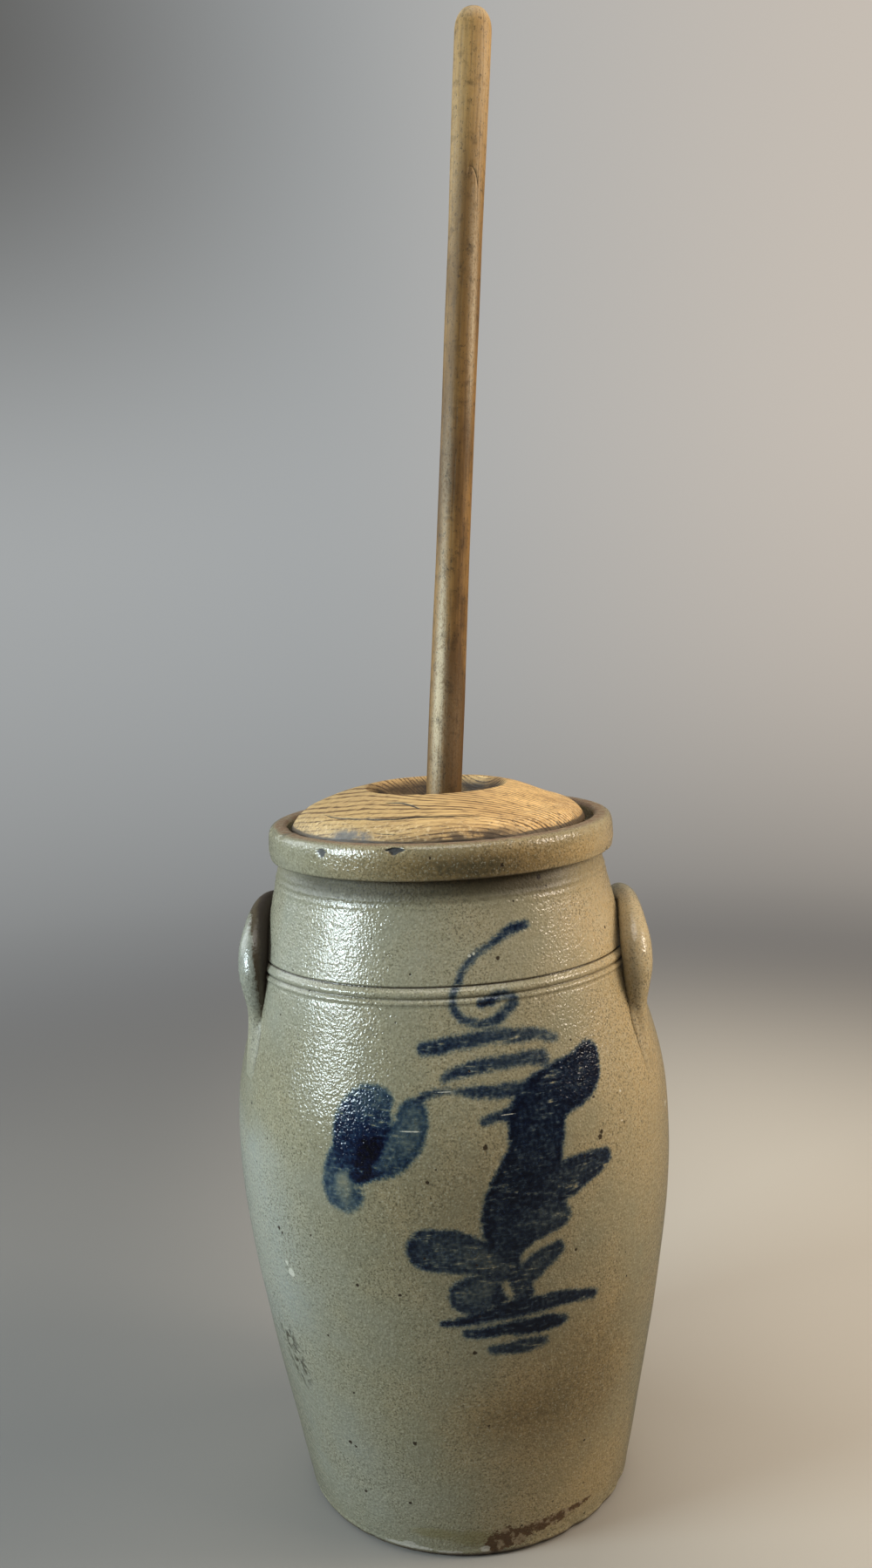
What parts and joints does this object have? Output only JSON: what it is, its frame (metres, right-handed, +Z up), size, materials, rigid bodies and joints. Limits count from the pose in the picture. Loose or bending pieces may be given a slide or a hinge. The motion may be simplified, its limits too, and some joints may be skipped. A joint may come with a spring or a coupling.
{
  "type": "butter churn",
  "caption": "Tall swelling stoneware dasher churn with two side lugs, a domed wooden lid with a staff hole, and a long wooden dasher with a cross at its foot.",
  "frame": {"origin": "middle of the crock's flat base, on the surface it stands on", "axes": "+Z up along the crock's axis, -Y towards the decorated front, +X towards the right-hand lug, the side the staff leans to"},
  "size_m": [0.3079, 0.308, 1.0135],
  "materials": {
    "salt_glaze": "salt-glazed stoneware, pitted satin gloss, cobalt brush decoration",
    "lug_glaze": "salt-glazed stoneware, pitted satin gloss",
    "lid_wood": "bare, dry, cracked along the grain, dirty at the edge",
    "staff_wood": "bare, polished by hands",
    "board_wood": "bare, stained by milk",
    "peg_wood": "bare"
  },
  "bodies": {
    "crock": {"crock": "salt_glaze", "handle_left": "lug_glaze", "handle_right": "lug_glaze"},
    "lid": {"lid": "lid_wood"},
    "dasher": {"dasher_staff": "staff_wood", "cross_board_upper": "board_wood", "cross_board_lower": "board_wood", "tenon_wedge": "peg_wood", "lap_pegs": "peg_wood"}
  },
  "joints": [
    {"name": "lid_lift", "type": "slide", "parent": "crock", "child": "lid", "axis": [0.0837, 0, 0.9965], "range_m": [0, 0.56]},
    {"name": "dasher_plunge", "type": "slide", "parent": "crock", "child": "dasher", "axis": [0.0837, 0, 0.9965], "range_m": [0, 0.4]}
  ]
}
